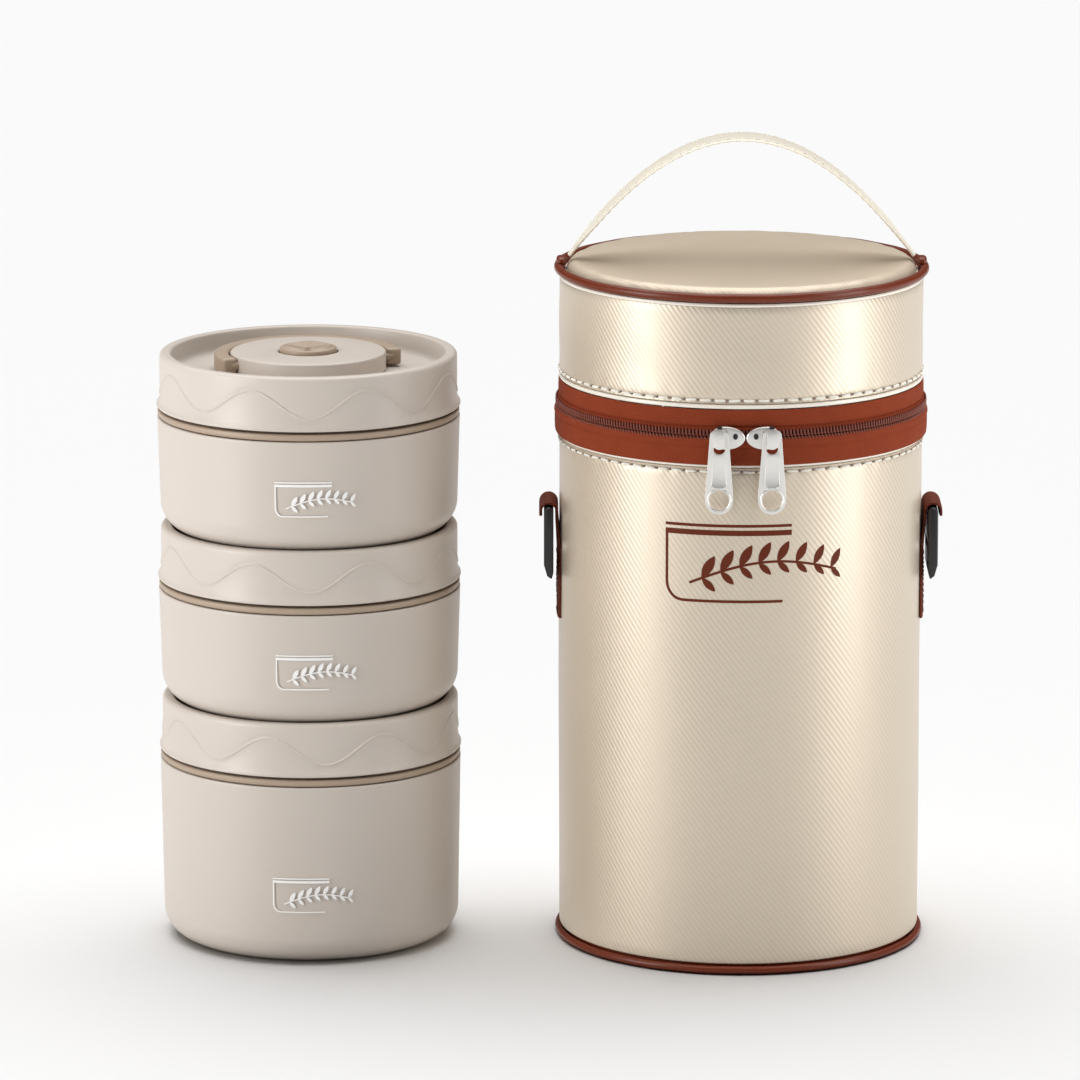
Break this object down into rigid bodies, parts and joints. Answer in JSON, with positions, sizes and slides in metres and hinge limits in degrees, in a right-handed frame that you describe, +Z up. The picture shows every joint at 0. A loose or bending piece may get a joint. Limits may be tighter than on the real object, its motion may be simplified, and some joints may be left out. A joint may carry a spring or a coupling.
{
  "type": "tiffin carrier",
  "caption": "Stacking round food boxes with vented, bail-handled lids, beside the zipped cylindrical insulated bag that carries them.",
  "frame": {"origin": "middle of the underside of the bag's base panel, on the table", "axes": "+Z up, -Y towards the zip pulls at the bag's front, +X to the right; the food boxes stand on the same table at -X"},
  "size_m": [0.3437, 0.1687, 0.3564],
  "materials": {
    "beige_plastic": "satin",
    "taupe_plastic": "satin",
    "white_plastic": "satin",
    "steel_cup": "satin",
    "silicone": "matte",
    "cream_leatherette": "satin",
    "brown_trim": "satin",
    "brown_webbing": "matte",
    "zip_coil": "satin",
    "silver_lining": "satin",
    "black_plastic": "satin",
    "zip_metal": "satin"
  },
  "bodies": {
    "bag_body": {"bag_wall": "cream_leatherette", "bag_base_panel": "brown_trim", "bag_base_piping": "brown_trim", "bag_lining": "silver_lining", "zip_tape_lower": "brown_webbing", "zip_coil_lower": "zip_coil", "hinge_strip_lower": "cream_leatherette", "side_tab_left": "brown_webbing", "side_tab_right": "brown_webbing"},
    "bag_lid": {"lid_wall": "cream_leatherette", "lid_piping": "brown_trim", "lid_top_panel": "cream_leatherette", "lid_lining": "silver_lining", "zip_tape_upper": "brown_webbing", "zip_coil_upper": "zip_coil", "hinge_strip_upper": "cream_leatherette"},
    "carry_handle": {"carry_handle": "cream_leatherette"},
    "slider_left": {"zip_slider_left": "zip_metal"},
    "pull_left": {"zip_pull_left": "zip_metal"},
    "buckle_left": {"side_buckle_left": "black_plastic"},
    "slider_right": {"zip_slider_right": "zip_metal"},
    "pull_right": {"zip_pull_right": "zip_metal"},
    "buckle_right": {"side_buckle_right": "black_plastic"},
    "lower_base": {"lower_base_shell": "beige_plastic", "lower_foot_ring": "beige_plastic", "lower_collar": "taupe_plastic", "lower_liner": "steel_cup"},
    "lower_lid": {"lower_lid_cover": "beige_plastic", "lower_lid_hub": "beige_plastic", "lower_lid_plate": "white_plastic", "lower_gasket": "silicone"},
    "lower_handle": {"lower_lid_handle": "taupe_plastic"},
    "lower_button": {"lower_vent_button": "taupe_plastic", "lower_vent_seal": "silicone"},
    "middle_base": {"middle_base_shell": "beige_plastic", "middle_foot_ring": "beige_plastic", "middle_collar": "taupe_plastic", "middle_liner": "steel_cup"},
    "middle_lid": {"middle_lid_cover": "beige_plastic", "middle_lid_hub": "beige_plastic", "middle_lid_plate": "white_plastic", "middle_gasket": "silicone"},
    "middle_handle": {"middle_lid_handle": "taupe_plastic"},
    "middle_button": {"middle_vent_button": "taupe_plastic", "middle_vent_seal": "silicone"},
    "upper_base": {"upper_base_shell": "beige_plastic", "upper_foot_ring": "beige_plastic", "upper_collar": "taupe_plastic", "upper_liner": "steel_cup"},
    "upper_lid": {"upper_lid_cover": "beige_plastic", "upper_lid_hub": "beige_plastic", "upper_lid_plate": "white_plastic", "upper_gasket": "silicone"},
    "upper_handle": {"upper_lid_handle": "taupe_plastic"},
    "upper_button": {"upper_vent_button": "taupe_plastic", "upper_vent_seal": "silicone"}
  },
  "joints": [
    {"name": "bag_lid_hinge", "type": "hinge", "parent": "bag_body", "child": "bag_lid", "pos_m": [0, 0.0799, 0.238], "axis": [-1, 0, 0], "range_deg": [0, 110]},
    {"name": "carry_handle_fold", "type": "hinge", "parent": "bag_lid", "child": "carry_handle", "pos_m": [0, 0, 0.3035], "axis": [1, 0, 0], "range_deg": [-60, 60]},
    {"name": "slider_left_run", "type": "hinge", "parent": "bag_body", "child": "slider_left", "pos_m": [0, 0, 0.238], "axis": [0, 0, -1], "range_deg": [0, 149]},
    {"name": "pull_left_swing", "type": "hinge", "parent": "slider_left", "child": "pull_left", "pos_m": [-0.01128, -0.08457, 0.238], "axis": [-0.9958, 0.0914, 0], "range_deg": [0, 75]},
    {"name": "buckle_left_swing", "type": "hinge", "parent": "bag_body", "child": "buckle_left", "pos_m": [-0.084, 0, 0.1914], "axis": [0, 1, 0], "range_deg": [0, 120]},
    {"name": "slider_right_run", "type": "hinge", "parent": "bag_body", "child": "slider_right", "pos_m": [0, 0, 0.238], "axis": [0, 0, 1], "range_deg": [0, 149]},
    {"name": "pull_right_swing", "type": "hinge", "parent": "slider_right", "child": "pull_right", "pos_m": [0.01128, -0.08457, 0.238], "axis": [-0.9958, -0.0914, 0], "range_deg": [0, 75]},
    {"name": "buckle_right_swing", "type": "hinge", "parent": "bag_body", "child": "buckle_right", "pos_m": [0.084, 0, 0.1914], "axis": [0, -1, 0], "range_deg": [0, 120]},
    {"name": "lower_base_lift", "type": "slide", "parent": "bag_body", "child": "lower_base", "axis": [0, 0, 1], "range_m": [0, 0.06]},
    {"name": "lower_lid_lift", "type": "slide", "parent": "lower_base", "child": "lower_lid", "axis": [0, 0, 1], "range_m": [0, 0.08]},
    {"name": "lower_handle_raise", "type": "hinge", "parent": "lower_lid", "child": "lower_handle", "pos_m": [-0.18463, 0.00295, 0.1041], "axis": [-0.5592, 0.829, 0], "range_deg": [0, 90]},
    {"name": "lower_button_press", "type": "slide", "parent": "lower_lid", "child": "lower_button", "axis": [0, 0, -1], "range_m": [0, 0.0018], "stiffness_N_per_m": 400, "springref_m": -0.001},
    {"name": "middle_base_lift", "type": "slide", "parent": "lower_lid", "child": "middle_base", "axis": [0, 0, 1], "range_m": [0, 0.076]},
    {"name": "middle_lid_lift", "type": "slide", "parent": "middle_base", "child": "middle_lid", "axis": [0, 0, 1], "range_m": [0, 0.08]},
    {"name": "middle_handle_raise", "type": "hinge", "parent": "middle_lid", "child": "middle_handle", "pos_m": [-0.18729, -0.00498, 0.1804], "axis": [0.9455, 0.3256, 0], "range_deg": [0, 90]},
    {"name": "middle_button_press", "type": "slide", "parent": "middle_lid", "child": "middle_button", "axis": [0, 0, -1], "range_m": [0, 0.0018], "stiffness_N_per_m": 400, "springref_m": -0.001},
    {"name": "upper_base_lift", "type": "slide", "parent": "middle_lid", "child": "upper_base", "axis": [0, 0, 1], "range_m": [0, 0.076]},
    {"name": "upper_lid_lift", "type": "slide", "parent": "upper_base", "child": "upper_lid", "axis": [0, 0, 1], "range_m": [0, 0.08]},
    {"name": "upper_handle_raise", "type": "hinge", "parent": "upper_lid", "child": "upper_handle", "pos_m": [-0.18729, -0.00498, 0.2567], "axis": [0.9455, 0.3256, 0], "range_deg": [0, 90]},
    {"name": "upper_button_press", "type": "slide", "parent": "upper_lid", "child": "upper_button", "axis": [0, 0, -1], "range_m": [0, 0.0018], "stiffness_N_per_m": 400, "springref_m": -0.001}
  ],
  "couplings": [
    {"joint": "slider_left_run", "follows": "bag_lid_hinge", "ratio": 1.35},
    {"joint": "slider_right_run", "follows": "bag_lid_hinge", "ratio": 1.35},
    {"joint": "lower_handle_raise", "follows": "middle_base_lift", "rad_per_m": 20.66},
    {"joint": "middle_handle_raise", "follows": "upper_base_lift", "rad_per_m": 20.66}
  ]
}
